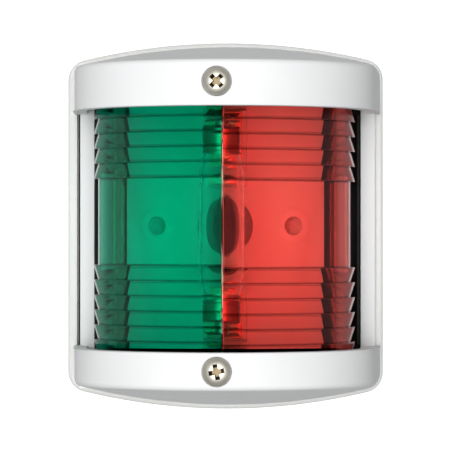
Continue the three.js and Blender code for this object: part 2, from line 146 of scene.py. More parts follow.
def combine(piece, tool, operation):
    """Joins ("UNION") or cuts ("DIFFERENCE") piece with tool, which is used up."""
    modifier = piece.modifiers.new("combine", "BOOLEAN")
    modifier.object = tool
    modifier.operation = operation
    modifier.solver = "EXACT"
    apply_modifiers(piece)
    bpy.data.objects.remove(tool)


def bevel(piece, width, segments=3, angle=40):
    """Rounds the piece's edges that are sharper than angle."""
    modifier = piece.modifiers.new("bevel", "BEVEL")
    modifier.width = width * METRES
    modifier.segments = segments
    modifier.limit_method = "ANGLE"
    modifier.angle_limit = math.radians(angle)
    apply_modifiers(piece)


def finish_piece(piece, body, nodes, material, sharp=32):
    """Shades the piece, gives it its material, ties it to its body and hides its CAD nodes."""
    piece.data.shade_smooth()
    piece.data.set_sharp_from_angle(angle=math.radians(sharp))
    piece.data.materials.clear()
    piece.data.materials.append(material)
    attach(piece, body)
    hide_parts(*nodes)
    return piece


def loft(name, loops, caps=True):
    """A skin over loops of equal length, with its two ends closed by one face each."""
    count = len(loops[0])
    points = [p for loop in loops for p in loop]
    faces = []
    for k in range(len(loops) - 1):
        for i in range(count):
            j = (i + 1) % count
            faces.append((k * count + i, k * count + j, (k + 1) * count + j, (k + 1) * count + i))
    if caps:
        last = (len(loops) - 1) * count
        faces.append(tuple(range(count))[::-1])
        faces.append(tuple(last + i for i in range(count)))
    return build_mesh(name, points, faces)


def circle(radius, steps):
    return [(radius * math.cos(2 * math.pi * i / steps), radius * math.sin(2 * math.pi * i / steps))
            for i in range(steps)]


def turned_forward(name, profile, x, z, steps=64):
    """A closed solid of [radius, depth] pairs turned about a line that runs forward at (x, z)."""
    return loft(name, [[(x + u, -depth, z + v) for u, v in circle(max(radius, 1e-4), steps)]
                       for radius, depth in profile])


def turned_upright(name, profile, steps=64):
    """A closed solid of [radius, height] pairs turned about the lamp's vertical axis."""
    return loft(name, [[(u, v - AXIS_DEPTH, height) for u, v in circle(max(radius, 1e-4), steps)]
                       for radius, height in profile])


def ring_forward(name, profile, x, z, steps=64):
    """A ring: the closed [radius, depth] profile goes all the way round and meets itself."""
    loops = []
    for u, v in circle(1, steps):
        loops.append([(x + r * u, -depth, z + r * v) for r, depth in profile])
    loops.append(loops[0])
    return loft(name, loops, caps=False)


def ring_upright(name, profile, steps=64):
    loops = []
    for u, v in circle(1, steps):
        loops.append([(r * u, r * v - AXIS_DEPTH, height) for r, height in profile])
    loops.append(loops[0])
    return loft(name, loops, caps=False)


def rod(radius, depth0, depth1, x, z, steps=64):
    return turned_forward("rod", [(radius, depth0), (radius, depth1)], x, z, steps)


def block(name, x_range, depths, z_range, rounding=0.0):
    (x0, x1), (d0, d1), (z0, z1) = x_range, depths, z_range
    loops = [[(x0, -d, z0), (x1, -d, z0), (x1, -d, z1), (x0, -d, z1)] for d in (d0, d1)]
    piece = loft(name, loops)
    if rounding:
        bevel(piece, rounding)
    return piece


# ---- materials -------------------------------------------------------------------------------


def set_inputs(shader, **values):
    for key, value in values.items():
        shader.inputs[key.replace("_", " ")].default_value = value


class Look:
    """A node material with one Principled shader and helpers for the detail fed into it."""

    def __init__(self, name):
        self.material = bpy.data.materials.new(name)
        self.material.use_nodes = True
        self.tree = self.material.node_tree
        self.shader = next(n for n in self.tree.nodes if n.type == "BSDF_PRINCIPLED")
        self.output = next(n for n in self.tree.nodes if n.type == "OUTPUT_MATERIAL")
        self.place = self.tree.nodes.new("ShaderNodeTexCoord").outputs["Object"]

    def node(self, kind, **inputs):
        node = self.tree.nodes.new(kind)
        for key, value in inputs.items():
            socket = node.inputs[key.replace("_", " ")]
            if isinstance(value, bpy.types.NodeSocket):
                self.tree.links.new(value, socket)
            else:
                socket.default_value = value
        return node

    def noise(self, scale, detail=3.0, roughness=0.5, stretch=(1, 1, 1)):
        """Noise of the given scale per metre, stretched along the axes, as a 0 to 1 value."""
        place = self.node("ShaderNodeMapping", Vector=self.place, Scale=stretch).outputs["Vector"]
        return self.node("ShaderNodeTexNoise", Vector=place, Scale=scale, Detail=detail,
                         Roughness=roughness).outputs["Fac"]

    def ramp(self, value, low, high, low_at=0.0, high_at=1.0):
        """Maps a value to a colour (or grey) between low and high."""
        node = self.node("ShaderNodeValToRGB", Fac=value)
        first, last = node.color_ramp.elements
        first.position, last.position = low_at, high_at
        first.color = low if isinstance(low, tuple) else (low, low, low, 1)
        last.color = high if isinstance(high, tuple) else (high, high, high, 1)
        return node.outputs["Color"]

    def maths(self, operation, *values):
        node = self.tree.nodes.new("ShaderNodeMath")
        node.operation = operation
        for socket, value in zip(node.inputs, values):
            if isinstance(value, bpy.types.NodeSocket):
                self.tree.links.new(value, socket)
            else:
                socket.default_value = value
        return node.outputs[0]

    def distance(self, place, centre, stretch):
        """How far each point is from a centre, in metres, after stretching along the axes."""
        shift = tuple(-c * k for c, k in zip(centre, stretch))
        moved = self.node("ShaderNodeMapping", Vector=place, Location=shift, Scale=stretch).outputs[0]
        length = self.tree.nodes.new("ShaderNodeVectorMath")
        length.operation = "LENGTH"
        self.tree.links.new(moved, length.inputs[0])
        return length.outputs["Value"]

    def blend(self, amount, first, second, how="MIX"):
        """Mixes a second colour over the first by an amount from 0 to 1."""
        node = self.tree.nodes.new("ShaderNodeMix")
        node.data_type = "RGBA"
        node.blend_type = how
        sockets = (node.inputs["Factor"], node.inputs[6], node.inputs[7])
        for socket, value in zip(sockets, (amount, first, second)):
            if isinstance(value, bpy.types.NodeSocket):
                self.tree.links.new(value, socket)
            else:
                socket.default_value = value
        return node.outputs[2]

    def link(self, value, socket):
        self.tree.links.new(value, self.shader.inputs[socket])

    def bump(self, height, strength, distance):
        node = self.node("ShaderNodeBump", Height=height, Strength=strength, Distance=distance)
        self.link(node.outputs["Normal"], "Normal")


def moulded_plastic(name, light, dark, roughness):
    """Injection-moulded plastic: a fine skin texture, slow colour drift and faint handling marks."""
    look = Look(name)
    colour = look.ramp(look.noise(60, 4), dark, light, 0.3, 0.7)
    look.link(colour, "Base Color")
    look.link(look.ramp(look.noise(420, 5, 0.6), roughness * 0.85, roughness * 1.2, 0.3, 0.7), "Roughness")
    look.bump(look.noise(2600, 2), 0.12, 0.00005)
    set_inputs(look.shader, IOR=1.5, Specular_IOR_Level=0.35)
    return look, colour


def base_with_painted_rim_shade(name, inside, outside):
    """The base's plastic, bright inside the sealed chamber and painted grey on its open rim, as shade
    against the strong front light.
    """
    look, _ = moulded_plastic(name, inside, inside, 0.5)
    across = [look.node("ShaderNodeSeparateXYZ", Vector=look.place).outputs[axis] for axis in ("X", "Z")]
    reach = []
    for value, edge in zip(across, (HALF_WIDTH - RIM_WIDTH, HALF_HEIGHT - RIM_WIDTH - 2)):
        size = look.maths("ABSOLUTE", value)
        reach.append(look.maths("DIVIDE", size, edge * METRES))
    rim_share = look.maths("MAXIMUM", *reach)
    drift = look.maths("MULTIPLY_ADD", look.noise(90, 4), 0.02, rim_share)
    # painted shade: grey towards the open rim
    look.link(look.ramp(drift, inside, outside, 0.985, 1.005), "Base Color")
    return look.material


def rubber(name, light, dark, shine=0.2):
    look = Look(name)
    look.link(look.ramp(look.noise(300), dark, light), "Base Color")
    look.link(look.ramp(look.noise(900), 0.6, 0.85), "Roughness")
    look.bump(look.noise(3000), 0.25, 0.00008)
    set_inputs(look.shader, Specular_IOR_Level=shine)
    return look.material


def foam(name, light, dark):
    """Closed-cell foam: small round cells over a slightly mottled grey."""
    look = Look(name)
    cells = look.node("ShaderNodeTexVoronoi", Vector=look.place, Scale=1400.0).outputs["Distance"]
    look.link(look.ramp(cells, dark, light, 0.1, 0.6), "Base Color")
    look.bump(cells, 0.4, 0.00015)
    set_inputs(look.shader, Roughness=0.9, Specular_IOR_Level=0.2)
    return look.material


def metal(name, light, dark, roughness, stretch=(1, 1, 1)):
    """Bright metal with fine tool marks stretched along one axis, and a little tarnish."""
    look = Look(name)
    look.link(look.ramp(look.noise(250, 4), dark, light, 0.35, 0.65), "Base Color")
    marks = look.noise(1500, 3, 0.6, stretch)
    look.link(look.ramp(marks, roughness * 0.75, roughness * 1.35), "Roughness")
    look.bump(marks, 0.15, 0.00003)
    set_inputs(look.shader, Metallic=1.0)
    return look.material


SHELF_REACH = 0.3              # how far the painted shade at a prism's shelf reaches, in mm
PAINTED_SHELF_SHADE = 0.4               # painted shade: what a shelf, a prism's slope and the foot leave of the tint's brightness
PAINTED_PRISM_SHADE = 0.84
PAINTED_FOOT_SHADE = 0.25
FOOT_REACH = (0.4, 0.62)       # where the darkening towards the foot ends, as parts of the axis's depth
EDGE_CLARITY = 0.72            # how clear the lens is at its outer edges
EDGE_REACH = (0.85, 0.9)       # where the painted grey shade sets in, as parts of the lens's outer radius


def tinted_lens_with_painted_shade(name, centre, tint, deep, glint):
    """Clear tinted plastic with painted shade on its prisms, their shelves and its foot, and greyer at the
    outer edges.
    """
    look = Look(name)
    x, y, z = look.node("ShaderNodeSeparateXYZ", Vector=look.place).outputs
    past = look.maths("ABSOLUTE", look.maths("MULTIPLY_ADD", z, 1 / METRES, -centre))
    past = look.maths("SUBTRACT", past, SMOOTH_HALF)
    shelf = look.maths("PINGPONG", past, TOOTH_PITCH / 2)
    middle = look.maths("LESS_THAN", past, -SHELF_REACH)
    # painted shade: darker on the prism slopes, darker still at each shelf
    prism = look.ramp(shelf, PAINTED_SHELF_SHADE, PAINTED_PRISM_SHADE, SHELF_REACH / 3, SHELF_REACH)
    painted_shade = look.maths("MAXIMUM", prism, middle)
    # painted shade, darker towards the lens's foot
    foot = look.ramp(look.maths("MULTIPLY", y, -1 / (AXIS_DEPTH * METRES)), PAINTED_FOOT_SHADE, 1.0, *FOOT_REACH)
    colour = look.ramp(look.noise(35, 2), deep, tint, 0.25, 0.75)
    colour = look.blend(1.0, colour, painted_shade, "MULTIPLY")
    look.link(look.blend(1.0, colour, foot, "MULTIPLY"), "Base Color")
    look.link(look.ramp(look.noise(700), 0.01, 0.025), "Roughness")
    look.bump(look.noise(180, 2), 0.02, 0.0001)
    out = look.maths("ABSOLUTE", look.maths("SUBTRACT", x, SIDE_PLAY * METRES))
    out = look.maths("DIVIDE", out, LENS_CREST * METRES)
    # the outer edges turn partly diffuse: a painted greyer shade
    look.link(look.ramp(out, 1.0, EDGE_CLARITY, *EDGE_REACH), "Transmission Weight")
    set_inputs(look.shader, IOR=1.49, Specular_Tint=glint)
    return look.material


def glass_with_painted_dark_oval(name, x, half_width, half_height):
    """Clear glass with a soft dark oval of painted shade, centred at x, on its front and back."""
    look = Look(name)
    stretch = (0.5 / (half_width * METRES), 0, 0.5 / (half_height * METRES))
    away = look.distance(look.place, (x * METRES, 0, 0), stretch)
    reach = look.maths("MULTIPLY_ADD", look.noise(260, 2), 0.06, away)
    # painted shade: the dark end of this ramp is the oval
    look.link(look.ramp(reach, (0.02, 0.02, 0.02, 1), (0.97, 0.98, 0.98, 1), 0.44, 0.58), "Base Color")
    look.link(look.ramp(look.noise(500), 0.0, 0.02), "Roughness")
    set_inputs(look.shader, Transmission_Weight=1.0, IOR=1.5, Specular_Tint=(0.15, 0.15, 0.15, 1))
    return look.material


def recessed_steel(name, x, z, front):
    """Brushed stainless steel for a screw at (x, z), dark brown down in its recess and along its shank."""
    look = Look(name)
    away = look.distance(look.place, (x * METRES, 0, z * METRES), (1, 0, 1))
    y = look.node("ShaderNodeSeparateXYZ", Vector=look.place).outputs["Y"]
    sunk = look.maths("MULTIPLY_ADD", look.noise(800), 0.0002, y)
    low = look.ramp(look.maths("MULTIPLY_ADD", sunk, 1000, front), 0.0, 1.0, 0.3, 0.75)
    near = look.ramp(look.maths("DIVIDE", away, 4 * METRES), 1.0, 0.0, 0.43, 0.47)
    # dark brown deeper than 0.3 to 0.75 mm under the head's front, within about 1.8 mm of the axis
    dark_depth = look.maths("MULTIPLY", low, near)
    brushed = look.ramp(look.noise(260, 4), (0.42, 0.40, 0.35, 1), (0.54, 0.51, 0.45, 1), 0.35, 0.65)
    look.link(look.blend(dark_depth, brushed, (0.13, 0.10, 0.06, 1)), "Base Color")
    look.link(look.ramp(look.noise(1500, 3, 0.6), 0.3, 0.45), "Roughness")
    look.bump(look.noise(1500, 3, 0.6), 0.15, 0.00003)
    set_inputs(look.shader, Metallic=1.0)
    return look.material


# The cover's white plastic is painted a light grey, as shade against the strong front light.
COVER_LOOK, _ = moulded_plastic("cover_plastic", (0.595, 0.602, 0.605, 1), (0.57, 0.577, 0.58, 1), 0.5)
WHITE_COVER = COVER_LOOK.material
WHITE_BASE = base_with_painted_rim_shade("base_plastic", (0.93, 0.93, 0.92, 1), (0.54, 0.545, 0.53, 1))
RUBBER = rubber("black_rubber", 0.009, 0.003)
GREY_RUBBER = rubber("grey_rubber", 0.32, 0.26, 0.3)
FOAM = foam("grey_foam", 0.62, 0.5)
GREEN = tinted_lens_with_painted_shade("green_lens", GREEN_CENTRE,
                    (0.0, 0.58, 0.37, 1), (0.0, 0.54, 0.3, 1), (0.02, 0.15, 0.1, 1))
RED = tinted_lens_with_painted_shade("red_lens", RED_CENTRE,
                  (1.0, 0.175, 0.15, 1), (1.0, 0.145, 0.12, 1), (0.2, 0.05, 0.05, 1))
BULB_GLASS = glass_with_painted_dark_oval("bulb_glass", 0.9, 2.3, 6.6)
NICKEL = metal("nickel_plate", (0.66, 0.65, 0.61, 1), (0.56, 0.55, 0.51, 1), 0.3)
BRASS = metal("rolled_brass", (0.86, 0.78, 0.60, 1), (0.78, 0.70, 0.52, 1), 0.45, (1, 1, 12))
TUNGSTEN = metal("tungsten", (0.32, 0.32, 0.34, 1), (0.24, 0.24, 0.26, 1), 0.45)

# ---- base ------------------------------------------------------------------------------------


def arched_outline(inset, corner_steps=10, arch_steps=40):
    """The base's outline, moved inwards: straight sides, arched top and bottom, round corners."""
    width, height, arch = HALF_WIDTH - inset, HALF_HEIGHT - inset, ARCH_RADIUS - inset
    corner = max(CORNER_RADIUS - inset, 0.4)
    across = width - corner
    rise = math.sqrt((arch - corner) ** 2 - across ** 2)
    meet = math.atan2(rise, across)
    quarter = []
    for i in range(corner_steps + 1):
        angle = meet * i / corner_steps
        quarter.append((across + corner * math.cos(angle), height - arch + rise + corner * math.sin(angle)))
    for i in range(1, arch_steps):
        angle = meet + (math.pi - 2 * meet) * i / arch_steps
        quarter.append((arch * math.cos(angle), height - arch + arch * math.sin(angle)))
    left = [(-x, z) for x, z in quarter[:corner_steps + 1]][::-1]
    upper = quarter + left
    lower = [(-x, -z) for x, z in upper]
    return upper + lower


def stacked_outlines(name, profile):
    """A solid from (inset, depth) pairs, each one the arched outline at that depth."""
    return loft(name, [[(x, -depth, z) for x, z in arched_outline(inset)] for inset, depth in profile])


def quarter_round(inset, depth, radius, steps=5):
    """(inset, depth) pairs of an outside edge that turns from the side face to the front face."""
    pairs = []
    for i in range(steps + 1):
        angle = math.pi / 2 * i / steps
        pairs.append((inset + radius * (1 - math.cos(angle)), depth - radius * (1 - math.sin(angle))))
    return pairs


def make_rear_gasket():
    inset = HALF_HEIGHT - REAR_GASKET.z1
    soft = 0.15
    piece = stacked_outlines("rear_gasket_foam", [
        (inset + soft, REAR_GASKET.d0), (inset, REAR_GASKET.d0 + soft),
        (inset, REAR_GASKET.d1 - soft), (inset + soft, REAR_GASKET.d1)])
    # The foam is a real part; left whole behind the mounting holes, its grey stands in for the shade seen
    # down them.
    combine(piece, rod(CABLE_HOLE_RADIUS, -1, 9, 0, 0), "DIFFERENCE")
    finish_piece(piece, "base", ["rear_gasket"], FOAM)


def make_base():
    profile = [(0.5, BASE.d0), (0.12, BASE.d0 + 0.12), (0, BASE.d0 + 0.5)]
    profile += quarter_round(0, RIM_DEPTH, 0.8)
    profile += [(RIM_WIDTH - 0.25, RIM_DEPTH), (RIM_WIDTH - 0.07, RIM_DEPTH - 0.07),
                (RIM_WIDTH, RIM_DEPTH - 0.25), (RIM_WIDTH, FLOOR_DEPTH + 0.2),
                (RIM_WIDTH + 0.2, FLOOR_DEPTH)]
    piece = stacked_outlines("base_shell", profile)
    combine(piece, rod(CABLE_HOLE_RADIUS, -1, 9, 0, 0), "DIFFERENCE")
    for x in (-MOUNT_HOLE_X, MOUNT_HOLE_X):
        slope = [(SEAT_RADIUS + 0.9, FLOOR_DEPTH - 0.1), (SEAT_RADIUS, FLOOR_DEPTH + 0.3),
                 (SEAT_RADIUS - 0.9, SEAT_FRONT)]
        seat = turned_forward("seat", slope, x, 0)
        combine(piece, seat, "UNION")
        combine(piece, rod(MOUNT_HOLE_RADIUS, -1, 9, x, 0, 48), "DIFFERENCE")
    contact_blocks(piece)
    screw_posts(piece)
    finish_piece(piece, "base", ["base_housing"], WHITE_BASE)


def contact_blocks(piece):
    """The two raised blocks that the bulb contacts are fastened to, with their screw and rivet holes."""
    for place in ("top", "bottom"):
        metal_plate = span(f"terminal_plate_{place}")
        margin = 1.0
        tower = block("contact_block", (metal_plate.x0 - margin, metal_plate.x1 + margin),
                      (FLOOR_DEPTH - 0.5, metal_plate.d0 - 0.05),
                      (metal_plate.z0 - 0.6, metal_plate.z1 + 0.5), rounding=0.3)
        combine(piece, tower, "UNION")
        for part, clearance in (("contact_rivet", 0.3), ("terminal_screw", 0.3)):
            shank = span(f"{part}_{place}")
            radius = (1.0 if part == "contact_rivet" else 1.25) + clearance
            middle = (shank.z0 + shank.z1) / 2
            combine(piece, rod(radius, shank.d0 - clearance, 9, 0, middle, 32), "DIFFERENCE")


def screw_posts(piece):
    """The two posts that take the cover screws, each drilled for its threaded insert."""
    for place in ("top", "bottom"):
        screw = span(f"cover_screw_{place}")
        insert = span(f"threaded_insert_{place}")
        x, z = (screw.x0 + screw.x1) / 2, (screw.z0 + screw.z1) / 2
        outer = 2.95
        post = turned_forward("post", [(outer, FLOOR_DEPTH - 0.5), (outer, BASE.d1 - 0.3),
                                       (outer - 0.3, BASE.d1)], x, z)
        combine(piece, post, "UNION")
        bore = (insert.x1 - insert.x0) / 2 + 0.2
        combine(piece, rod(bore, insert.d0 - 1, BASE.d1 + 1, x, z, 48), "DIFFERENCE")


def make_grommet():
    """A rubber bush with a rounded flange, closed by a thin web at the bottom of a dimple."""
    dimple, web = 3.2, GROMMET.d1 - 3
    neck = CABLE_HOLE_RADIUS - 0.15
    flange = GROMMET.x1
    seat = FLOOR_DEPTH + 0.05
    profile = [(0, GROMMET.d0), (neck - 0.2, GROMMET.d0), (neck, GROMMET.d0 + 0.2), (neck, seat),
               (flange, seat)]
    rounding = GROMMET.d1 - seat - 0.1
    for i in range(9):
        angle = math.pi / 2 * i / 8
        profile.append((flange - rounding * (1 - math.cos(angle)),
                        GROMMET.d1 - rounding * (1 - math.sin(angle))))
    profile += [(dimple + 0.5, GROMMET.d1), (dimple, GROMMET.d1 - 0.5), (dimple, web + 0.3),
                (dimple - 0.3, web), (0, web)]
    # The closed web's grey also stands in for the shade seen down the cable hole.
    piece = turned_forward("grommet_rubber", profile, 0, 0)
    finish_piece(piece, "base", ["cable_grommet"], GREY_RUBBER)


def make_lens_gasket():
    """A flat frame under the lens's foot, with an upright lip beside each side strip of the cover."""
    inner, rail = 23.4, 3.2
    g = LENS_GASKET
    piece = block("lens_seal", (g.x0, g.x1), (g.d0, RIM_DEPTH), (g.z0, g.z1))
    hole = block("hole", (-inner, inner), (0, 9), (LENS_BOTTOM + rail, LENS_TOP - rail))
    combine(piece, hole, "DIFFERENCE")
    # The black lips also stand in for the shade in the gaps between the lens and the side strips.
    lip_out, lip_in = WINDOW_HALF_WIDTH - 0.25, WINDOW_HALF_WIDTH - 0.85
    for side in (-1, 1):
        x_range = sorted((SIDE_PLAY + side * lip_in, SIDE_PLAY + side * lip_out))
        lip = block("lip", x_range, (g.d0 + 0.1, g.d1), (WINDOW_BOTTOM + 0.3, WINDOW_TOP - 0.3))
        combine(piece, lip, "UNION")
    bevel(piece, 0.2, 2)
    finish_piece(piece, "base", ["lens_gasket"], RUBBER)


# ---- lens ------------------------------------------------------------------------------------


def lens_profile(centre):
    """Heights and radii of the lens's outer face: straight prisms, sharp inside and just broken outside."""
    crest = LENS_RADIUS + TOOTH_HEIGHT
    soft = 0.06
    upper = []
    for k in range(TEETH + 1):
        start = centre + SMOOTH_HALF + TOOTH_PITCH * k
        upper += [(start, LENS_RADIUS), (start, crest - soft), (start + soft, crest),
                  (start + TOOTH_PITCH - 0.01, LENS_RADIUS)]
    lower = [(2 * centre - z, radius) for z, radius in reversed(upper)]
    edge = 0.3
    profile = [(LENS_BOTTOM, LENS_RADIUS - edge), (LENS_BOTTOM + edge, LENS_RADIUS)]
    profile += tooth_part(lower, LENS_BOTTOM + edge, LENS_TOP - edge)
    profile += tooth_part(upper, LENS_BOTTOM + edge, LENS_TOP - edge)
    return profile + [(LENS_TOP - edge, LENS_RADIUS), (LENS_TOP, LENS_RADIUS - edge)]


def tooth_part(points, low, high):
    """The stretch of a profile between two heights, cut through a slope where it crosses one of them."""
    part = []
    for i, (z, radius) in enumerate(points):
        if low < z < high:
            part.append((z, radius))
        for z2, radius2 in points[i + 1:i + 2]:
            for cut in (low, high):
                if (z - cut) * (z2 - cut) < 0:
                    part.append((cut, radius + (radius2 - radius) * (cut - z) / (z2 - z)))
    return part


def lens_arc(radius, side, z, arc_steps=72):
    """Plan of one half at a radius: a straight leg from the foot, then an arc to the joint."""
    start = side * math.pi / 2
    end = math.asin((JOINT + side * JOINT_GAP / 2) / radius)
    points = [(SIDE_PLAY + side * radius, -LENS_FOOT, z)]
    for i in range(arc_steps + 1):
        angle = start + (end - start) * i / arc_steps
        points.append((SIDE_PLAY + radius * math.sin(angle), -AXIS_DEPTH - radius * math.cos(angle), z))
    return points


def make_lens_half(name, node, side, centre, material):
    loops = [lens_arc(radius, side, z) + lens_arc(LENS_INNER, side, z)[::-1]
             for z, radius in lens_profile(centre)]
    piece = loft(name, loops)
    corner = (SIDE_PLAY + JOINT + side * JOINT_GAP / 2, -LENS_FOOT)
    for z0 in (LENS_BOTTOM, LENS_TOP - END_WALL):
        plan = lens_arc(LENS_INNER + 0.5, side, z0)
        wall = [[(x, y, z) for x, y, _ in plan] + [(*corner, z)] for z in (z0, z0 + END_WALL)]
        combine(piece, loft("end_wall", wall), "UNION")
    clean(piece)
    finish_piece(piece, "lens", [node], material, sharp=25)


# ---- front cover -----------------------------------------------------------------------------


def contour_height(x):
    """Half the height of the cover's arched back contour, at x from its middle."""
    return COVER_HALF_HEIGHT - ARCH_RADIUS + math.sqrt(ARCH_RADIUS ** 2 - x ** 2)


COVER_BACK = RIM_DEPTH + 0.05


def front_depth(x):
    """Depth of the cover's front face, or of its drafted side wall, at x from its middle."""
    reach = abs(x)
    if reach <= COVER_RADIUS:
        return AXIS_DEPTH + math.sqrt(COVER_RADIUS ** 2 - reach ** 2)
    draft = (COVER_HALF_WIDTH - reach) / (COVER_HALF_WIDTH - COVER_RADIUS)
    return COVER_BACK + max(draft, 0.02) * (AXIS_DEPTH - COVER_BACK)


def lid_height(x, depth):
    """Height of the cover's top: it falls evenly from the arched contour to the level front edge."""
    share = (depth - COVER_BACK) / (front_depth(x) - COVER_BACK)
    return contour_height(x) + (COVER_FRONT_HEIGHT - contour_height(x)) * min(max(share, 0), 1)


def cover_stations(shrink, wall_steps=10, arc_steps=120):
    """Points (x, depth) and outward directions round the cover's plan, from back left to back right."""
    side = []
    for i in range(wall_steps):
        share = i / wall_steps
        x = COVER_HALF_WIDTH + (COVER_RADIUS - COVER_HALF_WIDTH) * share
        side.append((x - shrink, COVER_BACK + (AXIS_DEPTH - COVER_BACK) * share, 1.0, 0.0))
    stations = [(-x, depth, -nx, nd) for x, depth, nx, nd in side]
    radius = COVER_RADIUS - shrink
    for i in range(arc_steps + 1):
        angle = -math.pi / 2 + math.pi * i / arc_steps
        nx, nd = math.sin(angle), math.cos(angle)
        stations.append((radius * nx, AXIS_DEPTH + radius * nd, nx, nd))
    return stations + side[::-1]


def edge_radius(depth, shrink):
    """The rounding of the cover's top edge: wide at its back corners, small round the front."""
    if shrink:
        return 0.4
    share = min(max((depth - COVER_BACK) / (AXIS_DEPTH - COVER_BACK), 0), 1)
    return 2.6 + (1.1 - 2.6) * share


def band_skin(shrink, window_edge, round_steps=6, lid_columns=24):
    """One skin of a cover band: its wall round the plan, a rounded top edge and the lid across it.

    Returns the points, the faces, and two runs of point numbers to join it to the other skin by:
    along the window edge, and round the back."""
    stations = cover_stations(shrink)
    count = len(stations)
    lip = 0.35
    points, columns = [], []
    for x, depth, nx, nd in stations:
        radius = edge_radius(depth, shrink)
        sign = -1 if shrink == 0 else 1
        column = []
        for i in range(4):
            angle = math.pi / 2 * i / 3
            inward = sign * -lip * (1 - math.sin(angle))
            column.append((x + inward * nx, depth + inward * nd, window_edge + lip * (1 - math.cos(angle))))
        for i in range(round_steps + 1):
            angle = math.pi / 2 * i / round_steps
            inward = -radius * (1 - math.cos(angle))
            px, pd = x + inward * nx, depth + inward * nd
            pd = max(pd, COVER_BACK)
            top = lid_height(px, pd) - shrink
            column.append((px, pd, top - radius * (1 - math.sin(angle))))
        columns.append(len(points))
        points += column
    rows = len(column)
    faces = []
    for k in range(count - 1):
        for i in range(rows - 1):
            a, b = columns[k] + i, columns[k + 1] + i
            faces.append((a, b, b + 1, a + 1))
    top = rows - 1
    previous = None
    back = []
    for k in range(count // 2):
        left, right = columns[k] + top, columns[count - 1 - k] + top
        (x0, d0, _), (x1, _, _) = points[left], points[right]
        row = [left]
        for i in range(1, lid_columns):
            x = x0 + (x1 - x0) * i / lid_columns
            row.append(len(points))
            points.append((x, d0, lid_height(x, d0) - shrink))
        row.append(right)
        if previous is None:
            back = row
        else:
            faces += [(previous[i], previous[i + 1], row[i + 1], row[i]) for i in range(lid_columns)]
        previous = row
    faces.append(tuple(previous) + (columns[count // 2] + top,))
    edge = list(columns)
    behind = [columns[0] + i for i in range(top)] + back + [columns[-1] + i for i in range(top)][::-1]
    return points, faces, edge, behind


def cover_band(name, mirrored, window_edge):
    """A closed band of the cover, its top for z upwards, or mirrored for its bottom."""
    points, faces, edge, behind = band_skin(0, window_edge)
    inner, inner_faces, inner_edge, inner_behind = band_skin(COVER_WALL, window_edge)
    shift = len(points)
    points = points + inner
    faces = faces + [tuple(shift + i for i in face)[::-1] for face in inner_faces]
    for outside, inside in ((edge, inner_edge), (behind, inner_behind)):
        inside = [shift + i for i in inside]
        for i in range(len(outside) - 1):
            faces.append((outside[i], outside[i + 1], inside[i + 1], inside[i]))
    flip = -1 if mirrored else 1
    return build_mesh(name, [(SIDE_PLAY + x, -depth, flip * z) for x, depth, z in points], faces)


def make_cover():
    piece = cover_band("cover_shell", False, WINDOW_TOP)
    combine(piece, cover_band("lower_band", True, -WINDOW_BOTTOM), "UNION")
    for side in (-1, 1):
        x_range = sorted((SIDE_PLAY + side * WINDOW_HALF_WIDTH, SIDE_PLAY + side * STRIP_HALF_WIDTH))
        strip = block("strip", x_range, (COVER_BACK + 0.1, STRIP_FRONT),
                      (WINDOW_BOTTOM - 1.5, WINDOW_TOP + 1.5), rounding=0.15)
        combine(piece, strip, "UNION")
    for place in ("top", "bottom"):
        screw = span(f"cover_screw_{place}")
        ring = span(f"screw_retainer_{place}")
        x, z = (screw.x0 + screw.x1) / 2, (screw.z0 + screw.z1) / 2
        front = AXIS_DEPTH + COVER_RADIUS
        combine(piece, rod(3.0, ring.d1 + 0.3, front - 1, x, z), "UNION")
        combine(piece, rod(1.75, ring.d1, front + 1, x, z, 48), "DIFFERENCE")
        combine(piece, rod(3.2, front - 0.6, front + 2, x, z), "DIFFERENCE")
    clean(piece)
    finish_piece(piece, "cover", ["front_cover"], WHITE_COVER)


# ---- fasteners -------------------------------------------------------------------------------

RECESS_TURN = {"top": 45, "bottom": 12}


def make_cover_screw(place):
    """A pan-head screw with a tapered cross recess and a threaded shank."""
    s = span(f"cover_screw_{place}")
    x, z = (s.x0 + s.x1) / 2, (s.z0 + s.z1) / 2
    head = (s.x1 - s.x0) / 2
    seat = s.d1 - 1.9
    profile = [(0, s.d0), (0.9, s.d0), (1.3, s.d0 + 0.5)]
    pitch = 0.5
    turns = int(9 / pitch)
    for i in range(turns):
        start = s.d0 + 0.7 + i * pitch
        profile += [(1.2, start), (1.44, start + pitch / 2)]
    profile += [(1.2, s.d0 + 0.8 + turns * pitch), (1.2, seat), (head - 0.15, seat), (head, seat + 0.15)]
    profile += [(head, seat + 0.55)]
    dome_steps = 12
    for i in range(1, dome_steps + 1):
        angle = math.pi / 2 * i / dome_steps
        profile.append((head * math.cos(angle) ** 0.8 if i < dome_steps else 0,
                        seat + 0.55 + (s.d1 - seat - 0.55) * math.sin(angle) ** 1.15))
    piece = turned_forward(f"screw_{place}_steel", profile, x, z)
    for quarter in (0, 90):
        angle = math.radians(RECESS_TURN[place] + quarter)
        along = Vector((math.cos(angle), 0, math.sin(angle)))
        across = Vector((-math.sin(angle), 0, math.cos(angle)))
        centre = Vector((x, 0, z))
        loops = []
        for depth, reach, half in ((s.d1 + 1, 1.9, 0.55), (s.d1 - 0.3, 1.62, 0.48), (s.d1 - 1.5, 0.95, 0.4)):
            corners = ((-reach, -half), (reach, -half), (reach, half), (-reach, half))
            loops.append([centre + along * u + across * v + Vector((0, -depth, 0)) for u, v in corners])
        combine(piece, loft("recess", loops), "DIFFERENCE")
    clean(piece)
    steel = recessed_steel(f"stainless_{place}", x, z, s.d1)
    finish_piece(piece, f"screw_{place}", [f"cover_screw_{place}"], steel)


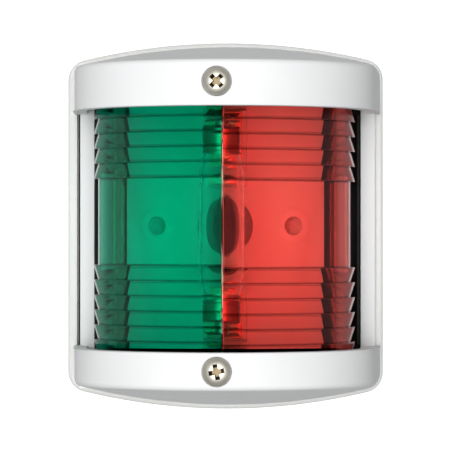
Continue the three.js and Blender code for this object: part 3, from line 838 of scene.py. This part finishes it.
def make_retainer(place):
    s = span(f"screw_retainer_{place}")
    x, z = (s.x0 + s.x1) / 2, (s.z0 + s.z1) / 2
    outer, bore = (s.x1 - s.x0) / 2, 1.55
    middle, thick = (outer + bore) / 2, (outer - bore) / 2
    half = (s.d1 - s.d0) / 2
    profile = [(middle + thick * u, (s.d0 + s.d1) / 2 + half * v) for u, v in circle(1, 20)]
    piece = ring_forward(f"retainer_{place}_rubber", profile, x, z)
    finish_piece(piece, "cover", [f"screw_retainer_{place}"], RUBBER)


def make_insert(place):
    """A brass insert with two bands parted by a groove."""
    s = span(f"threaded_insert_{place}")
    x, z = (s.x0 + s.x1) / 2, (s.z0 + s.z1) / 2
    outer, bore = (s.x1 - s.x0) / 2, 1.65
    length = s.d1 - s.d0
    groove = outer - 0.25
    profile = [(bore, s.d0), (outer - 0.1, s.d0), (outer, s.d0 + 0.1), (outer, s.d0 + 0.4 * length),
               (groove, s.d0 + 0.43 * length), (groove, s.d0 + 0.57 * length), (outer, s.d0 + 0.6 * length),
               (outer, s.d1 - 0.1), (outer - 0.1, s.d1), (bore + 0.15, s.d1), (bore, s.d1 - 0.15)]
    piece = ring_forward(f"insert_{place}_brass", profile, x, z, 48)
    finish_piece(piece, "base", [f"threaded_insert_{place}"], BRASS)


# ---- bulb ------------------------------------------------------------------------------------

GLASS_WALL = 0.6


def barrel_radius(height):
    """Outer radius of the bulb's glass: a full barrel that draws in to its two necks."""
    full = (GLASS.x1 - GLASS.x0) / 2
    neck = 3.7
    reach = abs(height)
    start = 7.0
    end = GLASS.z1 - 1.3
    share = min(max((reach - start) / (end - start), 0), 1)
    return neck + (full - neck) * math.cos(share * math.pi / 2) ** 0.7


def make_bulb_glass():
    steps = 40
    heights = [GLASS.z0 + (GLASS.z1 - GLASS.z0) * i / steps for i in range(steps + 1)]
    outer = [(barrel_radius(h), h) for h in heights]
    inner = [(barrel_radius(h) - GLASS_WALL, h) for h in reversed(heights)]
    piece = ring_upright("bulb_tube", outer + inner)
    finish_piece(piece, "bulb", ["bulb_glass"], BULB_GLASS)


def make_bulb_cap(place):
    s = span(f"bulb_cap_{place}")
    flip = 1 if place == "top" else -1
    start, tip = (s.z0, s.z1) if flip > 0 else (-s.z1, -s.z0)
    radius = (s.x1 - s.x0) / 2
    end = tip - 2.6
    neck = 3.75
    profile = [(0, start + 1.35), (neck, start + 1.35), (neck, start + 0.1), (neck + 0.12, start),
               (radius - 0.1, start), (radius, start + 0.1), (radius, start + 1.0),
               (radius - 0.15, start + 1.2), (radius - 0.15, start + 1.5), (radius, start + 1.7),
               (radius, end - 0.6)]
    for i in range(1, 7):
        angle = math.pi / 2 * i / 6
        profile.append((radius - 0.6 * (1 - math.cos(angle)), end - 0.6 * (1 - math.sin(angle))))
    nub = 1.5
    profile += [(nub + 0.3, end + 0.1), (nub, end + 0.4), (nub, tip - 0.8)]
    for i in range(1, 7):
        angle = math.pi / 2 * i / 6
        profile.append((nub * math.cos(angle), tip - 0.8 + 0.8 * math.sin(angle)))
    piece = turned_upright(f"cap_{place}_metal", [(r, flip * h) for r, h in profile])
    finish_piece(piece, "bulb", [f"bulb_cap_{place}"], NICKEL)


def make_filament():
    """A coiled tungsten wire that hangs in a shallow bow between the two caps."""
    s = span("bulb_filament")
    half = s.z1 - 0.1
    bow = s.d1 - AXIS_DEPTH - 0.2
    coil, wire, turns, sides, per_turn = 0.13, 0.045, 90, 6, 8
    steps = turns * per_turn
    loops = []
    for i in range(steps + 1):
        height = -half + 2 * half * i / steps
        out = bow * (1 - (height / half) ** 2)
        turn = 2 * math.pi * i / per_turn
        centre = (coil * math.cos(turn), -AXIS_DEPTH - out + coil * math.sin(turn))
        loops.append([(centre[0] + u * math.cos(turn), centre[1] + u * math.sin(turn), height + v)
                      for u, v in circle(wire, sides)])
    piece = loft("filament_coil", loops)
    finish_piece(piece, "bulb", ["bulb_filament"], TUNGSTEN)


# ---- contacts --------------------------------------------------------------------------------


def make_contacts(place):
    flip = 1 if place == "top" else -1
    plate_span = span(f"terminal_plate_{place}")
    plate = block(f"plate_{place}_brass", (plate_span.x0, plate_span.x1), (plate_span.d0, plate_span.d1),
                  (plate_span.z0, plate_span.z1))
    for part, radius in (("contact_rivet", 1.3), ("terminal_screw", 1.55)):
        hole = span(f"{part}_{place}")
        combine(plate, rod(radius, 0, 20, 0, (hole.z0 + hole.z1) / 2, 32), "DIFFERENCE")
    bevel(plate, 0.12, 2)
    finish_piece(plate, "base", [f"terminal_plate_{place}"], BRASS)

    s = span(f"contact_spring_{place}")
    leaf = block(f"leaf_{place}_brass", (s.x0, s.x1), (s.d0, s.d1), (s.z0, s.z1))
    fork, fork_start = 1.75, 15.8
    slot = block("slot", (-fork, fork), (fork_start + fork, 40), (s.z0 - 1, s.z1 + 1))
    combine(leaf, slot, "DIFFERENCE")
    eye = loft("eye", [[(u, -(fork_start + fork) + v, z) for u, v in circle(fork, 48)]
                       for z in (s.z0 - 1, s.z1 + 1)])
    combine(leaf, eye, "DIFFERENCE")
    bevel(leaf, 0.1, 2)
    finish_piece(leaf, f"contact_{place}", [f"contact_spring_{place}"], BRASS)

    r = span(f"contact_rivet_{place}")
    middle = flip * abs((r.z0 + r.z1) / 2)
    head = (r.x1 - r.x0) / 2
    seat = plate_span.d1 + 0.05
    profile = [(0, r.d0), (1.0, r.d0), (1.0, seat), (head, seat), (head, seat + 0.15)]
    for i in range(1, 8):
        angle = math.pi / 2 * i / 7
        profile.append((head * math.cos(angle), seat + 0.15 + (r.d1 - seat - 0.15) * math.sin(angle)))
    rivet = turned_forward(f"rivet_{place}_brass", profile, 0, middle, 40)
    finish_piece(rivet, "base", [f"contact_rivet_{place}"], BRASS)

    c = span(f"terminal_clamp_{place}")
    clamp = block(f"clamp_{place}_metal", (c.x0, c.x1), (c.d0, c.d1), (c.z0, c.z1))
    combine(clamp, rod(1.55, 0, 20, 0, (c.z0 + c.z1) / 2, 32), "DIFFERENCE")
    bevel(clamp, 0.12, 2)
    finish_piece(clamp, "base", [f"terminal_clamp_{place}"], NICKEL)

    t = span(f"terminal_screw_{place}")
    middle = (t.z0 + t.z1) / 2
    head = (t.x1 - t.x0) / 2
    seat = c.d1 + 0.05
    profile = [(0, t.d0), (0.9, t.d0), (1.25, t.d0 + 0.4), (1.25, seat), (head - 0.1, seat),
               (head, seat + 0.1), (head, t.d1 - 0.35), (head - 0.1, t.d1 - 0.1), (head - 0.35, t.d1),
               (0, t.d1)]
    screw = turned_forward(f"terminal_{place}_metal", profile, 0, middle, 48)
    slot = block("slot", (-9, 9), (t.d1 - 0.8, t.d1 + 1), (middle - 0.4, middle + 0.4))
    combine(screw, slot, "DIFFERENCE")
    clean(screw)
    finish_piece(screw, f"terminal_{place}", [f"terminal_screw_{place}"], NICKEL)


# ---- studio ----------------------------------------------------------------------------------

CAMERA_AZIMUTH = 3.0          # degrees, towards +X
CAMERA_ELEVATION = -0.3
CAMERA_DISTANCE = 690
CAMERA_LENS = 245.8
SIDE_LIGHT = 0.6
BACK_LIGHT = 1.2              # of the panel straight behind the lamp
BEHIND_LIGHT = 0.3            # of the dim walls between the sides and that panel
CEILING_LIGHT = 0.68
FRONT_LIGHT = 5.4             # added straight ahead of the lamp, by a large soft panel
LEFT_EXTRA = 0.18             # how much brighter all of it is towards -X
SIDE_ENDS = (0.2, 0.55)       # how far round towards +Y the side walls turn into the dim ones,
BACK_STARTS = (0.972, 0.986)  # and those into the panel behind; 1 is straight behind
CEILING_STARTS = (0.5, 0.85)  # how far up or down the walls turn into ceiling
FRONT_STARTS = (-0.80, -0.98) # where the front panel's glow sets in; -1 is straight ahead
FLOOR_HEIGHT = -250
FLOOR_RADIUS = 380
FILL_WIDTH = 34               # of the panel that brightens the chamber, in mm, with its depth
FILL_HEIGHT = 40
FILL_DEPTH = 38
FILL_POWER = 0.012            # watts


def make_camera():
    azimuth, elevation = math.radians(CAMERA_AZIMUTH), math.radians(CAMERA_ELEVATION)
    back = Vector((math.sin(azimuth) * math.cos(elevation), -math.cos(azimuth) * math.cos(elevation),
                   math.sin(elevation)))
    data = bpy.data.cameras.new("camera")
    data.lens = CAMERA_LENS
    data.sensor_width = 36
    data.clip_start = 0.01
    camera = bpy.data.objects.new("camera", data)
    camera.location = back * CAMERA_DISTANCE * METRES
    camera.rotation_euler = (-back).to_track_quat("-Z", "Y").to_euler()
    bpy.context.scene.collection.objects.link(camera)
    bpy.context.scene.camera = camera


def make_chamber_fill():
    """A soft panel just inside the lens, itself unseen, that brightens the chamber behind it."""
    data = bpy.data.lights.new("chamber_fill", "AREA")
    data.shape = "RECTANGLE"
    data.size = FILL_WIDTH * METRES
    data.size_y = FILL_HEIGHT * METRES
    data.energy = FILL_POWER
    lamp = bpy.data.objects.new("chamber_fill", data)
    lamp.location = (SIDE_PLAY * METRES, -FILL_DEPTH * METRES, 0)
    lamp.rotation_euler = (math.radians(90), 0, 0)
    for rays in ("camera", "glossy", "transmission"):
        setattr(lamp, "visible_" + rays, False)
    bpy.context.scene.collection.objects.link(lamp)


def make_studio():
    """A light tent: bright ahead and behind, soft at the sides, dimmer between, over a pale floor."""
    world = bpy.data.worlds.new("studio")
    world.use_nodes = True
    bpy.context.scene.world = world
    tree = world.node_tree

    def value(kind, *inputs, **settings):
        node = tree.nodes.new(kind)
        for key, setting in settings.items():
            setattr(node, key, setting)
        for socket, source in zip(node.inputs, inputs):
            if isinstance(source, bpy.types.NodeSocket):
                tree.links.new(source, socket)
            else:
                socket.default_value = source
        return node.outputs

    def fade(source, ends, before, after):
        """A soft change from one strength to another, between two values of the source."""
        return value("ShaderNodeMapRange", source, *ends, before, after, interpolation_type="SMOOTHSTEP")[0]

    direction = value("ShaderNodeTexCoord")["Generated"]
    x, y, z = value("ShaderNodeSeparateXYZ", direction)
    side = fade(y, SIDE_ENDS, SIDE_LIGHT, BEHIND_LIGHT)
    wall = fade(y, BACK_STARTS, side, BACK_LIGHT)
    height = value("ShaderNodeMath", z, operation="ABSOLUTE")[0]
    band = fade(height, CEILING_STARTS, wall, CEILING_LIGHT)
    glow = fade(y, FRONT_STARTS, 0.0, FRONT_LIGHT)
    both = value("ShaderNodeMath", band, glow, operation="ADD")[0]
    lean = value("ShaderNodeMath", x, -LEFT_EXTRA, 1.0, operation="MULTIPLY_ADD")[0]
    strength = value("ShaderNodeMath", both, lean, operation="MULTIPLY")[0]
    background = next(n for n in tree.nodes if n.type == "BACKGROUND")
    background.inputs["Color"].default_value = (1, 1, 1, 1)
    tree.links.new(strength, background.inputs["Strength"])
    floor = loft("floor", [[(FLOOR_RADIUS * u, FLOOR_RADIUS * v, FLOOR_HEIGHT - t) for u, v in circle(1, 64)]
                           for t in (0, 10)])
    paint = Look("floor_paint")
    paint.link(paint.ramp(paint.noise(8), 0.72, 0.76), "Base Color")
    set_inputs(paint.shader, Roughness=0.7)
    floor.data.materials.append(paint.material)
    bpy.context.scene.view_settings.view_transform = "Standard"


make_camera()
make_studio()
make_chamber_fill()
make_rear_gasket()
make_base()
make_grommet()
make_lens_gasket()
make_lens_half("green_lens_half", "lens_green", -1, GREEN_CENTRE, GREEN)
make_lens_half("red_lens_half", "lens_red", 1, RED_CENTRE, RED)
make_cover()
make_bulb_glass()
make_filament()
for where in ("top", "bottom"):
    make_cover_screw(where)
    make_retainer(where)
    make_insert(where)
    make_bulb_cap(where)
    make_contacts(where)
